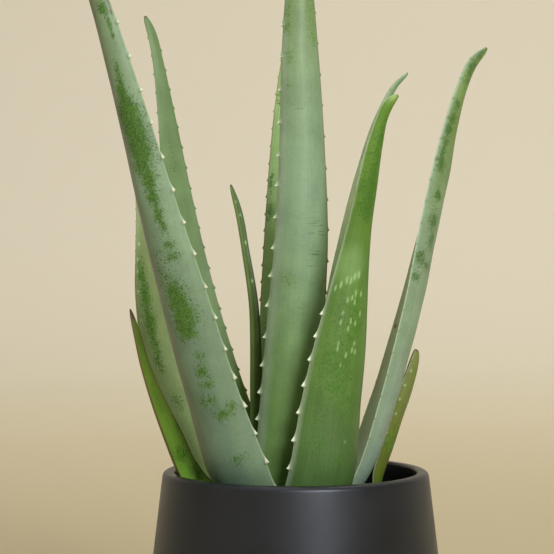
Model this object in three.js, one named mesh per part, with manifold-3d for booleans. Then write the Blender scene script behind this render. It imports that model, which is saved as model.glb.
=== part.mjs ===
// A potted aloe: a round dark pot, its soil, the short stem and eleven toothed leaves.
// Millimetres, +Z up, origin at the middle of the pot's underside, the front faces -Y.

import * as THREE from 'three';
import { mergeVertices } from 'three/addons/utils/BufferGeometryUtils.js';
import Module from 'manifold-3d';

const manifold = await Module();
manifold.setup();

// Clearance between pieces that touch on the real plant.
const seatGap = 0.3;

// Pot: a cone that widens downwards and turns in to a flat foot.
const potHeight = 139;
const rimRadius = 75;
const rimRound = 3;
const wall = 6.5;
const flare = 0.119;
const footRound = 24;
const potSides = 64;

// Soil and stem.
const soilTop = 106;
const soilRelief = 1.4;
const soilRings = [0.8, 0.6, 0.4, 0.22];
const stemFoot = 88;
const stemTop = 127;
const stemRadius = 15;
const stemPlace = { x: -5, y: 5 };

// Leaf mesh: rings along the leaf, closer together towards the tip by a power law, two more at the
// very end as shares of the length, and points across the outer and the inner face. The middle line
// is measured in this many steps between two stations.
const stationSteps = 50;
const leafRings = 24;
const tipRings = [0.994, 0.9995];
const tipCrowding = 1.3;
const outerPoints = 6;
const innerPoints = 4;

// Section of a leaf, as shares of its half width: the outer face bulges, less at the root where the
// leaf clasps the stem; the inner face is a gutter near the root and turns full towards the tip.
const outerBulge = 0.7;
const claspBulge = 0.55;
const claspShare = 0.12;
const tipBulge = 0.2;
const gutterDepth = 0.16;
const tipFullness = 0.5;
const outerRoundness = 0.7;
const innerRoundness = 0.8;
// The rounded end of a leaf starts later the higher this exponent.
const tipRound = 50;

// A tooth, as multiples of its height: short side towards the root, long sweep towards the tip of
// the leaf. Its root is sunk this deep, or this share of the half width on a slim leaf.
const toothShortSide = 0.75;
const toothLongSide = 2.8;
const toothRoot = 2.6;
const toothRootShare = 0.35;
// Teeth shrink by this share towards the tip and end at this share of the length.
const toothShrink = 0.35;
const teethEnd = 0.96;
const firstSeed = 101;

// Each leaf: its stations from the stem to the tip, as [x, y, z, full width, facing], where facing
// is the way that the outer face looks, in degrees anticlockwise from +X.
// Teeth: distance of the first one from the root, spacing low down and further up, the share of the
// length at which the second spacing is reached, the height on either margin, and the share of the
// length where they end, if that is early.
// The innermost leaves come first, because each next one lies against them.
const leaves = [
  {
    name: 'leaf_young',
    colour: 0x3d5a2c,
    stations: [
      [-13, 6, 120, 8, 215], [-21.7, 9, 138, 8.9, 217], [-22, 10, 178, 9.6, 223],
      [-23.5, 11, 230, 7, 231], [-28.6, 13, 264, 5.2, 236], [-32.1, 13.5, 284, 4.8, 238],
      [-37.1, 14, 301.2, 2.8, 240],
    ],
  },
  {
    name: 'leaf_centre',
    colour: 0x7f9f78,
    stations: [
      [-6, -3, 114, 33, 282], [-5.3, -3, 140, 35.8, 283], [-2.3, -5, 180, 36.1, 284],
      [0.2, -8, 225, 33.3, 285], [3.1, -11, 270, 30.9, 286], [3.4, -14, 320, 26.5, 287],
      [2.3, -17, 370, 21.8, 288], [1.5, -19, 430, 12.4, 289], [0, -20, 482, 3.3, 290],
    ],
    teeth: { first: 16, spacing: [15, 17.5], settled: 0.5, height: [2.3, 1.3] },
  },
  {
    name: 'leaf_behind_centre',
    colour: 0x4f7240,
    stations: [
      [-3, 12, 114, 30, 88], [-5, 19, 134, 33.1, 88], [-7.2, 28, 178, 32.9, 89],
      [-5.1, 36, 209, 31.9, 89], [-4.6, 44, 240, 30.8, 90], [-4.9, 61, 315, 20.9, 91],
      [-4.8, 70, 358, 12.7, 92], [-3.8, 75, 392, 5.2, 92],
    ],
    teeth: { first: 30, spacing: [10.5, 10.5], settled: 1, height: [1.2, 1.2] },
  },
  {
    name: 'leaf_front_right',
    colour: 0x62903f,
    stations: [
      [3, -9, 114, 40, 306], [12.6, -22, 137.3, 45, 307], [18.5, -28, 181.1, 40.7, 309],
      [23.3, -32, 213.4, 35.4, 311], [28.3, -37, 246, 25.8, 313],
      [32.6, -42, 272.5, 18.4, 315], [36.7, -47, 295, 15, 316], [40.9, -52, 317.5, 11.5, 317],
      [44.6, -55, 331.7, 8.4, 318], [48.2, -56.5, 339.4, 8.1, 318],
      [53.7, -57.5, 344.4, 5.4, 318],
    ],
    teeth: { first: 29, spacing: [16, 10], settled: 1, height: [2.5, 1.1], end: 0.53 },
  },
  {
    name: 'leaf_behind_right',
    colour: 0x7c9a78,
    stations: [
      [11, 2, 115, 26, 20], [18.3, 4, 138, 29, 20], [19.1, 8, 178, 28.6, 18],
      [20.6, 10, 206, 29.4, 16], [21.5, 12, 235, 30.4, 14], [27.5, 15, 270, 27.1, 10],
      [34.7, 17, 304, 20.2, 5], [41.9, 18.5, 328, 14.9, 2], [50.1, 19.5, 347, 9.5, -3],
      [57.4, 20, 359, 6.2, -8], [65, 20, 365.8, 5.2, -10],
    ],
    teeth: { first: 40, spacing: [14, 13], settled: 1, height: [1.2, 1.2] },
  },
  {
    name: 'leaf_front_left',
    colour: 0x7a9c7c,
    stations: [
      [-15, -9, 115, 39, 224], [-28.2, -26, 138, 45.6, 224], [-43.3, -36, 182, 39.6, 224],
      [-58.6, -46, 235, 34.6, 225], [-73.9, -54, 289, 27, 226], [-88, -60, 341, 19.7, 227],
      [-103.4, -64, 393, 13.2, 228], [-117.9, -66, 435, 8.8, 229], [-134, -67, 472, 3.4, 230],
    ],
    teeth: { first: 28, spacing: [14, 18], settled: 0.35, height: [1.3, 2.6] },
  },
  {
    name: 'leaf_side_left',
    colour: 0x6f8548,
    stations: [
      [-15, 5, 115, 25, 140], [-38.5, 5, 134, 29, 138], [-62.1, 11, 178, 29.2, 134],
      [-75.2, 14, 206, 28, 131], [-81, 20, 235, 25, 128], [-84, 25, 262, 19, 125],
      [-86.7, 30, 284, 13, 123], [-90.2, 34, 302, 7, 121], [-91.5, 37, 313.1, 2.7, 120],
    ],
    teeth: { first: 44, spacing: [10, 8], settled: 1, height: [1.2, 1.2] },
  },
  {
    name: 'leaf_back_left',
    colour: 0x5d8350,
    stations: [
      [-12, 14, 115, 28, 130], [-23.8, 21, 135, 32.1, 129], [-40, 27, 177, 30.1, 127],
      [-52.7, 35, 216, 29, 125], [-62.2, 43, 255, 25.3, 123], [-69.9, 52, 298, 19.1, 121],
      [-76.2, 61, 340, 12.3, 119], [-82.5, 68, 378, 7.2, 118], [-86.3, 70, 395, 6.5, 118],
      [-90.8, 71, 406.9, 5.5, 118],
    ],
    teeth: { first: 40, spacing: [13.5, 12], settled: 1, height: [1.5, 1.4] },
  },
  {
    name: 'leaf_right',
    colour: 0x7fa085,
    stations: [
      [11, 5, 115, 30, 13], [28.6, 8.5, 134, 31.8, 8.9], [45.1, 9.5, 178, 33.6, 4.9],
      [55, 11, 212, 32.2, 2.9], [62.5, 12.5, 240, 30.9, 0.6], [71, 15, 276, 27.9, -3.9],
      [80.1, 17, 310, 22.7, -11.1], [87.6, 19, 337, 16.1, -14], [94.7, 21, 357, 11.5, -19],
      [101.2, 23, 371, 9.9, -22], [111.1, 24, 380.8, 6.6, -24],
    ],
    teeth: { first: 48, spacing: [11.5, 13], settled: 1, height: [1.3, 1.3] },
  },
  {
    name: 'leaf_low_left',
    colour: 0x55802a,
    stations: [
      [-17, -1, 116, 19, 150], [-46.9, -13.5, 124.6, 21.6, 148], [-58.9, -15.5, 140.5, 16.7, 146],
      [-67.8, -15.5, 160.2, 14.4, 143], [-76.5, -14.5, 179.8, 10.2, 141],
      [-83.8, -13, 199.3, 6.9, 138], [-88.2, -12, 215.9, 5.1, 136],
      [-92.4, -11, 230.4, 2.4, 135],
    ],
  },
  {
    name: 'leaf_low_right',
    colour: 0x6f8030,
    stations: [
      [13, 12, 114, 11, -6], [42.7, 20, 120, 9, -6], [45.8, 23, 136, 16.3, -7],
      [55.9, 26, 165, 15.6, -8], [60.4, 26.6, 180, 16.9, -9], [65.9, 27, 194, 12.8, -10],
      [70.3, 28, 206.3, 7.7, -10],
    ],
    teeth: { first: 52, spacing: [8, 7], settled: 1, height: [0.9, 0.9] },
  },
];

// --- solids and meshes -------------------------------------------------------------------------

function solidFrom(geometry) {
  const bare = geometry.clone();
  bare.deleteAttribute('normal');
  bare.deleteAttribute('uv');
  const merged = mergeVertices(bare, 1e-4);
  const mesh = new manifold.Mesh({
    numProp: 3,
    vertProperties: new Float32Array(merged.attributes.position.array),
    triVerts: new Uint32Array(merged.index.array),
  });
  return new manifold.Manifold(mesh);
}

function geometryFrom(solid) {
  const mesh = solid.getMesh();
  const geometry = new THREE.BufferGeometry();
  geometry.setAttribute('position', new THREE.BufferAttribute(mesh.vertProperties, 3));
  geometry.setIndex(new THREE.BufferAttribute(mesh.triVerts, 1));
  geometry.computeVertexNormals();
  return geometry;
}

function geometryOf(points, triangles) {
  const geometry = new THREE.BufferGeometry();
  const numbers = points.flatMap((point) => point.toArray());
  geometry.setAttribute('position', new THREE.Float32BufferAttribute(numbers, 3));
  geometry.setIndex(triangles);
  return geometry;
}

function largestBody(solid) {
  const bodies = solid.decompose();
  return bodies.reduce((best, body) => (body.volume() > best.volume() ? body : best));
}

function piece(name, solid, colour, roughness) {
  const material = new THREE.MeshStandardMaterial({ color: colour, roughness, metalness: 0 });
  const mesh = new THREE.Mesh(geometryFrom(solid), material);
  mesh.name = name;
  return mesh;
}

function turned(profile, sides) {
  const points = profile.map(([radius, height]) => new THREE.Vector2(radius, height));
  const geometry = new THREE.LatheGeometry(points, sides);
  geometry.rotateX(Math.PI / 2);
  return geometry;
}

// --- pot, soil and stem ------------------------------------------------------------------------

// Outer radius of the pot's cone at a height.
function coneRadius(height) {
  return rimRadius + flare * (potHeight - rimRound - height);
}

// Radius of the inner wall's cone, and the centre of the round between wall and foot.
const innerRadius = (height) => coneRadius(height) - wall;
const footCentre = coneRadius(footRound) - footRound;

// Quarter turn of a rounded edge, as points from one angle to another, in degrees.
function arc(centreRadius, centreHeight, radius, from, to, steps) {
  return Array.from({ length: steps + 1 }, (_, step) => {
    const angle = THREE.MathUtils.degToRad(from + ((to - from) * step) / steps);
    return [centreRadius + radius * Math.cos(angle), centreHeight + radius * Math.sin(angle)];
  });
}

function buildPot() {
  const lip = potHeight - 1;
  const profile = [
    [0, 0],
    ...arc(footCentre, footRound, footRound, -90, 0, 6),
    ...arc(rimRadius - rimRound, potHeight - rimRound, rimRound, 0, 90, 3),
    [innerRadius(lip) + 1, potHeight],
    [innerRadius(lip), lip],
    ...arc(footCentre, footRound, footRound - wall, 0, -90, 3),
    [0, wall],
  ];
  return solidFrom(turned(profile, potSides));
}

// Height of the soil's surface: two crossed waves.
function soilHeight(x, y) {
  const wave = Math.sin(x * 0.21 + 0.6) * Math.cos(y * 0.17) + 0.6 * Math.sin((x + y) * 0.33);
  return soilTop + soilRelief * wave;
}

function buildSoil() {
  const edge = innerRadius(soilTop) - seatGap;
  const profile = [
    [0, wall + seatGap],
    ...arc(footCentre, footRound, footRound - wall - seatGap, -90, 0, 3),
    [edge, soilTop],
    ...soilRings.map((share) => [edge * share, soilTop]),
    [0, soilTop],
  ];
  const geometry = turned(profile, potSides / 2);
  const position = geometry.attributes.position;
  for (let i = 0; i < position.count; i += 1) {
    if (position.getZ(i) > soilTop - 0.01) {
      position.setZ(i, soilHeight(position.getX(i), position.getY(i)));
    }
  }
  return solidFrom(geometry);
}

function buildStem(grow) {
  const profile = [
    [0, stemFoot - grow],
    [stemRadius - 4 + grow, stemFoot - grow],
    [stemRadius + grow, soilTop - 4],
    [stemRadius + grow, soilTop + 4],
    [stemRadius * 0.75 + grow, stemTop - 9],
    [stemRadius * 0.35 + grow, stemTop - 2],
    [0, stemTop + grow],
  ];
  const geometry = turned(profile, 16);
  geometry.translate(stemPlace.x, stemPlace.y, 0);
  return solidFrom(geometry);
}

// --- leaves ------------------------------------------------------------------------------------

// Value at x of a smooth curve through the values at some places: a cubic between two places, with
// slopes that follow the neighbours.
function through(places, values, x) {
  const last = places.length - 1;
  const slope = (k) => {
    const [a, b] = [Math.max(k - 1, 0), Math.min(k + 1, last)];
    return (values[b] - values[a]) / (places[b] - places[a]);
  };
  let k = 0;
  while (k < last - 1 && places[k + 1] <= x) k += 1;
  const step = places[k + 1] - places[k];
  const w = (x - places[k]) / step;
  const rise = values[k + 1] - values[k];
  const [start, end] = [slope(k) * step, slope(k + 1) * step];
  const bend = w * (3 * rise - 2 * start - end) + w * w * (start + end - 2 * rise);
  return values[k] + w * (start + bend);
}

// The leaf with its middle line and, for each station, the share of the length, width and facing.
function shaped(leaf) {
  const points = leaf.stations.map(([x, y, z]) => new THREE.Vector3(x, y, z));
  const curve = new THREE.CatmullRomCurve3(points, false, 'centripetal');
  curve.arcLengthDivisions = stationSteps * (points.length - 1);
  const lengths = curve.getLengths();
  const places = points.map((_, k) => lengths[k * stationSteps] / lengths.at(-1));
  const widths = leaf.stations.map((station) => station[3]);
  const facings = leaf.stations.map((station) => station[4]);
  return { ...leaf, curve, places, widths, facings };
}

// Half width at a share of the length, rounded off at the very end.
function halfWidth(leaf, t) {
  return (through(leaf.places, leaf.widths, t) / 2) * Math.sqrt(1 - t ** tipRound);
}

// Offsets of both faces from the middle line, at u from -1 to +1 across the leaf.
function faceOffsets(leaf, t, u) {
  const half = halfWidth(leaf, t);
  const clasp = THREE.MathUtils.lerp(claspBulge, 1, THREE.MathUtils.smoothstep(t, 0, claspShare));
  const bulge = outerBulge * clasp * (1 + tipBulge * t);
  const hollow = gutterDepth - tipFullness * t ** 3;
  const outer = half * bulge * (1 - u * u) ** outerRoundness;
  const inner = half * hollow * (1 - u * u) ** innerRoundness;
  return { outer, inner };
}

// Place on the middle line with its three directions: along, out of the outer face, and across.
function frameAt(leaf, t) {
  const centre = leaf.curve.getPointAt(t);
  const along = leaf.curve.getTangentAt(t);
  const angle = THREE.MathUtils.degToRad(through(leaf.places, leaf.facings, t));
  const out = new THREE.Vector3(Math.cos(angle), Math.sin(angle), 0);
  out.addScaledVector(along, -out.dot(along)).normalize();
  const across = new THREE.Vector3().crossVectors(along, out);
  return { centre, along, out, across };
}

function placed(frame, across, out, along = 0) {
  return frame.centre.clone()
    .addScaledVector(frame.across, across)
    .addScaledVector(frame.out, out)
    .addScaledVector(frame.along, along);
}

// One ring: the outer face from margin to margin, then back along the inner face.
function ringPoints(leaf, t, grow) {
  const frame = frameAt(leaf, t);
  const half = halfWidth(leaf, t) + 1.5 * grow;
  const behind = t === 0 ? -2 * grow : 0;
  const points = [];
  for (let i = 0; i <= outerPoints; i += 1) {
    const u = Math.cos((Math.PI * i) / outerPoints);
    const lift = i % outerPoints === 0 ? -grow : grow;
    points.push(placed(frame, u * half, faceOffsets(leaf, t, u).outer + lift, behind));
  }
  for (let i = innerPoints - 1; i > 0; i -= 1) {
    const u = Math.cos((Math.PI * i) / innerPoints);
    points.push(placed(frame, u * half, faceOffsets(leaf, t, u).inner - grow, behind));
  }
  return points;
}

function blade(leaf, grow) {
  const ringSize = outerPoints + innerPoints;
  const shares = Array.from({ length: leafRings }, (_, i) => 1 - (1 - i / leafRings) ** tipCrowding);
  shares.push(...tipRings);
  const points = shares.flatMap((t) => ringPoints(leaf, t, grow));
  const triangles = [];
  const last = (shares.length - 1) * ringSize;
  for (let a = 0; a < last; a += 1) {
    const b = a % ringSize === ringSize - 1 ? a + 1 - ringSize : a + 1;
    triangles.push(a, b + ringSize, b);
    triangles.push(a, a + ringSize, b + ringSize);
  }
  const root = points.length;
  points.push(placed(frameAt(leaf, 0), 0, 0, -2 * grow));
  const tip = points.length;
  points.push(placed(frameAt(leaf, 1), 0, 0, grow));
  for (let i = 0; i < ringSize; i += 1) {
    const next = (i + 1) % ringSize;
    triangles.push(root, i, next);
    triangles.push(tip, last + next, last + i);
  }
  return solidFrom(geometryOf(points, triangles));
}

// A four-sided pyramid on the margin, its root sunk into the leaf.
function tooth(leaf, t, side, height) {
  const frame = frameAt(leaf, t);
  const half = halfWidth(leaf, t);
  const depth = Math.min(toothRoot, half * toothRootShare);
  const u = 1 - depth / half;
  const { outer, inner } = faceOffsets(leaf, t, u);
  const middle = (outer + inner) / 2;
  const thick = (outer - inner) * 0.35;
  const across = side * (half - depth);
  const points = [
    placed(frame, across, middle + thick, -toothShortSide * height),
    placed(frame, across, middle - thick, -toothShortSide * height),
    placed(frame, across, middle - thick, toothLongSide * height),
    placed(frame, across, middle + thick, toothLongSide * height),
    placed(frame, side * (half + height), 0, 0),
  ];
  const faces = [0, 1, 2, 0, 2, 3, 0, 4, 1, 1, 4, 2, 2, 4, 3, 3, 4, 0];
  if (side > 0) faces.reverse();
  return solidFrom(geometryOf(points, faces));
}

// Repeatable draw from 0 to 1.
function seeded(seed) {
  let state = seed;
  return () => {
    state = (state * 16807) % 2147483647;
    return state / 2147483647;
  };
}

function teeth(leaf, seed, grow) {
  if (!leaf.teeth) return [];
  const draw = seeded(seed);
  const length = leaf.curve.getLength();
  const { first, spacing, settled, height, end = teethEnd } = leaf.teeth;
  const solids = [];
  for (const side of [-1, 1]) {
    let distance = first + (side > 0 ? 0 : spacing[0] * 0.4);
    while (distance < length * end) {
      const share = distance / length;
      const tall = height[(side + 1) / 2];
      const size = tall * (1 - toothShrink * share) * (0.9 + 0.2 * draw());
      solids.push(tooth(leaf, share, side, size + 2 * grow));
      const step = THREE.MathUtils.lerp(...spacing, Math.min(1, share / settled));
      distance += step * (0.94 + 0.12 * draw());
    }
  }
  return solids;
}

// The leaf with its teeth, or the room that it takes with the gap round it.
function leafSolid(leaf, seed, grow) {
  const solids = teeth(leaf, seed, grow);
  return solids.reduce((whole, solid) => whole.add(solid), blade(leaf, grow));
}

// --- assembly ----------------------------------------------------------------------------------

const group = new THREE.Group();
const pot = buildPot();
const stem = buildStem(0);
let soil = buildSoil().subtract(buildStem(seatGap));
const occupied = [buildStem(seatGap)];

leaves.map(shaped).forEach((leaf, index) => {
  const seed = firstSeed + index;
  let solid = leafSolid(leaf, seed, 0);
  for (const other of occupied) {
    solid = solid.subtract(other);
  }
  const room = leafSolid(leaf, seed, seatGap);
  soil = soil.subtract(room);
  occupied.push(room);
  group.add(piece(leaf.name, largestBody(solid), leaf.colour, 0.55));
});

group.add(piece('pot', pot, 0x2b2c2c, 0.5));
group.add(piece('soil', largestBody(soil), 0x2e241b, 0.95));
group.add(piece('crown', stem, 0x9aa873, 0.7));

export default group;
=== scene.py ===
import math

import bpy
import numpy as np
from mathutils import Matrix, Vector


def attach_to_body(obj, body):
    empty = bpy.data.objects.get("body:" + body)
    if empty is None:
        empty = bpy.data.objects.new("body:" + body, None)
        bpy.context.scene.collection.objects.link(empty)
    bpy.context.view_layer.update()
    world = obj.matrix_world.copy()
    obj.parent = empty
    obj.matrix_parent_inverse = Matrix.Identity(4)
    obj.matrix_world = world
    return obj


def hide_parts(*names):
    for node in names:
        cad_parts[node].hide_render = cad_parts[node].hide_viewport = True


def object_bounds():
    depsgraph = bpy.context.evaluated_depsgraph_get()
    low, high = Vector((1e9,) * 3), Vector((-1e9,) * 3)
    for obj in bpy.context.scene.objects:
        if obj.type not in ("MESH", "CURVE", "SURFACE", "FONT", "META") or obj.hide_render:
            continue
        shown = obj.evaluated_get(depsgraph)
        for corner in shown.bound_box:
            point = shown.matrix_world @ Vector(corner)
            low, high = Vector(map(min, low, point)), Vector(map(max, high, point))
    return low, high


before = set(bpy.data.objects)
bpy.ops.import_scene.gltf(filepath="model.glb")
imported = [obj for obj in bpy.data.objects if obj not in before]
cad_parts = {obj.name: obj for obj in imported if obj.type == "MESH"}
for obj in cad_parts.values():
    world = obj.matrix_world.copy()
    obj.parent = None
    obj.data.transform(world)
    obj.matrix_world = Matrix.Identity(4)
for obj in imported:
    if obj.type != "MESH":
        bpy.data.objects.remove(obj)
cad_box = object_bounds()

# --- Pot ---------------------------------------------------------------------------------------
# One round body of slip-cast stoneware with a dark satin glaze, thick at the lip. It widens
# downwards in a straight cone and turns in to its flat foot with a large round. The glaze is
# even, with a faint grain that breaks up the highlights.

MM = 0.001
POT_HEIGHT = 139 * MM
RIM_RADIUS = 75 * MM
RIM_ROUND = 3 * MM
WALL = 6.5 * MM
FLARE = 0.119
FOOT_ROUND = 24 * MM
LIP_ROUND = 1.6 * MM
POT_SIDES = 256


def paint(code):
    """sRGB hex colour as linear red, green, blue and alpha 1."""
    parts = [int(code[i:i + 2], 16) / 255 for i in (1, 3, 5)]
    return [p / 12.92 if p <= 0.04045 else ((p + 0.055) / 1.055) ** 2.4 for p in parts] + [1]


def add(tree, kind, inputs=None, **settings):
    """Adds a shader node with its settings; an input is a value or another node's output."""
    made = tree.nodes.new("ShaderNode" + kind)
    for name, value in settings.items():
        setattr(made, name, value)
    for socket, value in (inputs or {}).items():
        if isinstance(value, bpy.types.NodeSocket):
            tree.links.new(value, made.inputs[socket])
        else:
            made.inputs[socket].default_value = value
    return made


def new_material(name):
    """An empty node material with its output; returns the material and its tree."""
    material = bpy.data.materials.new(name)
    material.use_nodes = True
    material.node_tree.nodes.clear()
    return material, material.node_tree


def finish_with(tree, shader):
    """Joins the shader to the material's output."""
    out = add(tree, "OutputMaterial")
    tree.links.new(shader.outputs[0], out.inputs["Surface"])


def blend(tree, factor, first, second, **settings):
    """Colour that goes from first to second as factor goes from 0 to 1."""
    inputs = {0: factor, 6: first, 7: second}
    return add(tree, "Mix", inputs, data_type="RGBA", **settings).outputs[2]


def ramp(tree, value, low, high, floor=0.0, top=1.0):
    """Maps value from low..high to floor..top, smoothly and clamped."""
    inputs = {"Value": value, "From Min": low, "From Max": high, "To Min": floor, "To Max": top}
    return add(tree, "MapRange", inputs, interpolation_type="SMOOTHSTEP").outputs["Result"]


def grid_mesh(name, points, close_around=True, caps=(True, True)):
    """Mesh of a grid of points (ring, around, xyz): quads between rings, with each end closed by a
    fan to the mean of its ring where caps says so. Returns the object, at the origin."""
    rings, around, _ = points.shape
    ids = np.arange(rings * around).reshape(rings, around)
    ahead = np.roll(ids, -1, axis=1) if close_around else ids[:, 1:]
    here = ids if close_around else ids[:, :-1]
    quads = np.stack([here[:-1], ahead[:-1], ahead[1:], here[1:]], axis=-1).reshape(-1, 4)
    corners = [points.reshape(-1, 3)]
    faces = quads.tolist()
    for end, ring in ((0, 0), (1, rings - 1)):
        if caps[end]:
            centre = sum(len(c) for c in corners)
            corners.append(points[ring].mean(axis=0)[None])
            pairs = np.stack([here[ring], ahead[ring]], axis=-1)
            if end:
                pairs = pairs[:, ::-1]
            faces += [[b, a, centre] for a, b in pairs.tolist()]
    mesh = bpy.data.meshes.new(name)
    mesh.from_pydata(np.concatenate(corners), [], faces)
    mesh.shade_smooth()
    made = bpy.data.objects.new(name, mesh)
    bpy.context.collection.objects.link(made)
    return made


def arc(centre, radius, start, stop, steps):
    """Points (radius, height) on an arc round centre, by angle in degrees."""
    angles = np.radians(np.linspace(start, stop, steps + 1))
    return np.stack([centre[0] + radius * np.cos(angles), centre[1] + radius * np.sin(angles)], 1)


def cone_radius(height):
    """Outer radius of the pot's cone at a height."""
    return RIM_RADIUS + FLARE * (POT_HEIGHT - RIM_ROUND - height)


def turned(profile, sides):
    """Surface of revolution about Z: every (radius, height) at equal angles, as a grid."""
    angles = np.linspace(0, 2 * np.pi, sides, endpoint=False)
    radius, height = profile[:, :1], profile[:, 1:]
    x, y = radius * np.cos(angles), radius * np.sin(angles)
    return np.stack([x, y, np.broadcast_to(height, x.shape)], axis=-1)


def subdivided(points, length):
    """Adds points along a profile so that no stretch is longer than length."""
    parts = [points[:1]]
    for a, b in zip(points[:-1], points[1:]):
        count = max(1, math.ceil(np.linalg.norm(b - a) / length))
        parts.append(a + (b - a) * np.arange(1, count + 1)[:, None] / count)
    return np.concatenate(parts)


foot_centre = (cone_radius(FOOT_ROUND) - FOOT_ROUND, FOOT_ROUND)
lip_centre = (cone_radius(POT_HEIGHT) - WALL + LIP_ROUND, POT_HEIGHT - LIP_ROUND)
pot_profile = np.concatenate([
    [[0.004, 0]],
    arc(foot_centre, FOOT_ROUND, -90, 0, 24),
    arc((RIM_RADIUS - RIM_ROUND, POT_HEIGHT - RIM_ROUND), RIM_ROUND, 4, 90, 10),
    arc(lip_centre, LIP_ROUND, 90, 180, 6),
    arc(foot_centre, FOOT_ROUND - WALL, 0, -90, 12),
    [[0.004, WALL]],
])
pot = grid_mesh("pot_body", turned(subdivided(pot_profile, 8 * MM), POT_SIDES))

# Glaze grain of about 0.4 mm and a slow cloud of about 30 mm from uneven firing.
glaze, tree = new_material("dark_satin_glaze")
place = add(tree, "TexCoord").outputs["Object"]
grain = add(tree, "TexNoise", {"Vector": place, "Scale": 2500, "Detail": 2}).outputs["Fac"]
cloud = add(tree, "TexNoise", {"Vector": place, "Scale": 33, "Detail": 3}).outputs["Fac"]
tone = blend(tree, ramp(tree, cloud, 0.35, 0.65), paint("#121316"), paint("#16171b"))
speck = blend(tree, ramp(tree, grain, 0.55, 0.75), tone, paint("#1d1e22"))
dullness = ramp(tree, cloud, 0.3, 0.7, 0.36, 0.44)
relief = add(tree, "Bump", {"Height": grain, "Strength": 0.12, "Distance": 0.0002}).outputs[0]
shader = add(tree, "BsdfPrincipled", {"Base Color": speck, "Roughness": dullness, "Normal": relief})
shader.inputs["IOR"].default_value = 1.5
shader.inputs["Specular IOR Level"].default_value = 0.62
shader.inputs["Specular Tint"].default_value = paint("#e6edf8")
finish_with(tree, shader)
pot.data.materials.append(glaze)
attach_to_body(pot, "root")
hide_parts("pot")

# --- Soil --------------------------------------------------------------------------------------
# Moist peat and bark potting mix, filled to about 33 mm below the lip. It is loose and crumbly,
# with coarse bark bits lying on it.

SOIL_TOP = 106 * MM
SOIL_GAP = 0.3 * MM
SOIL_RINGS = 90
SOIL_SIDES = 220
LATTICE = 64
STEM_PLACE = np.array([-5, 5]) * MM


def value_noise(x, y, size, seed):
    """Smooth random height at (x, y): random values on a square lattice of that size, blended by
    a smoothstep in both directions."""
    lattice = np.random.default_rng(seed).random((LATTICE, LATTICE))
    u, v = x / size, y / size
    i, j = np.floor(u).astype(int), np.floor(v).astype(int)
    a, b = u - i, v - j
    a, b = a * a * (3 - 2 * a), b * b * (3 - 2 * b)
    i, j, i_next, j_next = (k % LATTICE for k in (i, j, i + 1, j + 1))
    near = lattice[i, j] * (1 - a) + lattice[i_next, j] * a
    far = lattice[i, j_next] * (1 - a) + lattice[i_next, j_next] * a
    return near * (1 - b) + far * b - 0.5


def soil_height(x, y):
    """The bed's two crossed waves, plus crumbs of three sizes."""
    waves = np.sin(x / MM * 0.21 + 0.6) * np.cos(y / MM * 0.17) + 0.6 * np.sin((x + y) / MM * 0.33)
    crumbs = 1.6 * value_noise(x, y, 0.009, 3) + 1.2 * value_noise(x, y, 0.004, 4)
    crumbs += 0.8 * value_noise(x, y, 0.0018, 5)
    return SOIL_TOP + (0.6 * waves + crumbs - 0.4) * MM


soil_edge = cone_radius(SOIL_TOP) - WALL - SOIL_GAP
shares = np.linspace(1, 0.02, SOIL_RINGS)
soil_points = turned(np.stack([soil_edge * shares, np.full(SOIL_RINGS, SOIL_TOP)], 1), SOIL_SIDES)
soil_points[..., 2] = soil_height(soil_points[..., 0], soil_points[..., 1])
bed = arc(foot_centre, FOOT_ROUND - WALL - SOIL_GAP, -90, 0, 6)
bed = turned(np.concatenate([[[0.004, WALL + SOIL_GAP]], bed]), SOIL_SIDES)
soil = grid_mesh("soil_bed", np.concatenate([bed, soil_points]))

peat, tree = new_material("peat_and_bark_mix")
place = add(tree, "TexCoord").outputs["Object"]
crumb = add(tree, "TexNoise", {"Vector": place, "Scale": 400, "Detail": 5}).outputs["Fac"]
flake = add(tree, "TexVoronoi", {"Vector": place, "Scale": 220}).outputs["Color"]
dark = blend(tree, ramp(tree, crumb, 0.35, 0.7), paint("#1d1611"), paint("#4a382a"))
mixed = blend(tree, 0.25, dark, flake, blend_type="SOFT_LIGHT")
relief = add(tree, "Bump", {"Height": crumb, "Strength": 0.8, "Distance": 0.001}).outputs[0]
shader = add(tree, "BsdfPrincipled", {"Base Color": mixed, "Roughness": 0.95, "Normal": relief})
finish_with(tree, shader)
soil.data.materials.append(peat)
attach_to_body(soil, "root")
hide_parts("soil")

# --- Stem --------------------------------------------------------------------------------------
# Short thick stem of the aloe, pale green and fibrous where old leaves came away. The leaves
# grow round it and hide nearly all of it.

STEM_RADIUS = 15 * MM
STEM_FOOT = 88 * MM

stem_profile = np.array([
    [0.3, STEM_FOOT / MM], [11, STEM_FOOT / MM], [STEM_RADIUS / MM, 102], [14.6, 108], [12.6, 115],
    [9.2, 121], [5, 125], [1.6, 126.6], [0.3, 126.8],
]) * MM
stem_points = turned(subdivided(stem_profile, 1 * MM), 72)
turn = np.arctan2(stem_points[..., 1], stem_points[..., 0])
scars = 0.02 * np.cos(stem_points[..., 2] / MM * 2.4 + 3 * turn)
stem_points[..., :2] *= 0.98 + scars[..., None]
stem_points[..., :2] += STEM_PLACE
stem = grid_mesh("short_stem", stem_points)

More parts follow.
